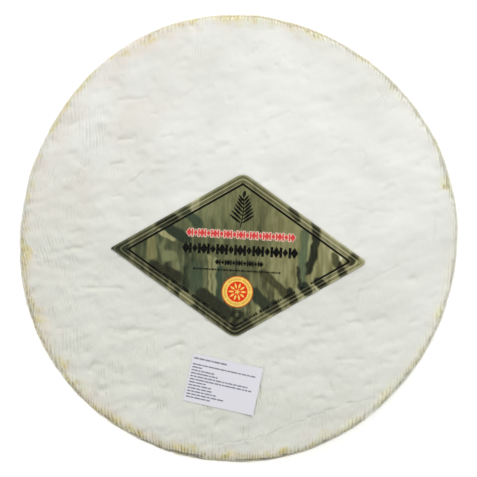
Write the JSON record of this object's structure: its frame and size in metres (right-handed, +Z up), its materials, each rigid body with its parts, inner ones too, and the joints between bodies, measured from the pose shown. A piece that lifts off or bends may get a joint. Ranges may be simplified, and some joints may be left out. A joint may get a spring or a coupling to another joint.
{
  "type": "brie wheel",
  "caption": "Whole round soft cheese with a white bloomy rind, wrapped in clear film, with a diamond foil label and a paper sticker on its face.",
  "frame": {"origin": "on the table, under the middle of the wheel's box", "axes": "+Z up through the wheel's face, +Y towards the far rim, the way up of what is on the labels, +X to the right of the labels"},
  "size_m": [0.361, 0.369, 0.03],
  "materials": {
    "rind": "bloomy white mould rind, powdery and matt, straw-coloured round the rim",
    "film": "thin clear stretch film, glossy, with fine creases near the rim",
    "foil_paper": "olive green metallic foil paper with soft dark and pale streaks",
    "label_print": "dark, red and amber print of the foil label",
    "sticker_paper": "smooth white self-adhesive paper with rows of grey print"
  },
  "bodies": {
    "root": {"cheese_wheel": "rind", "diamond_label": "foil_paper", "paper_sticker": "sticker_paper"}
  },
  "joints": []
}
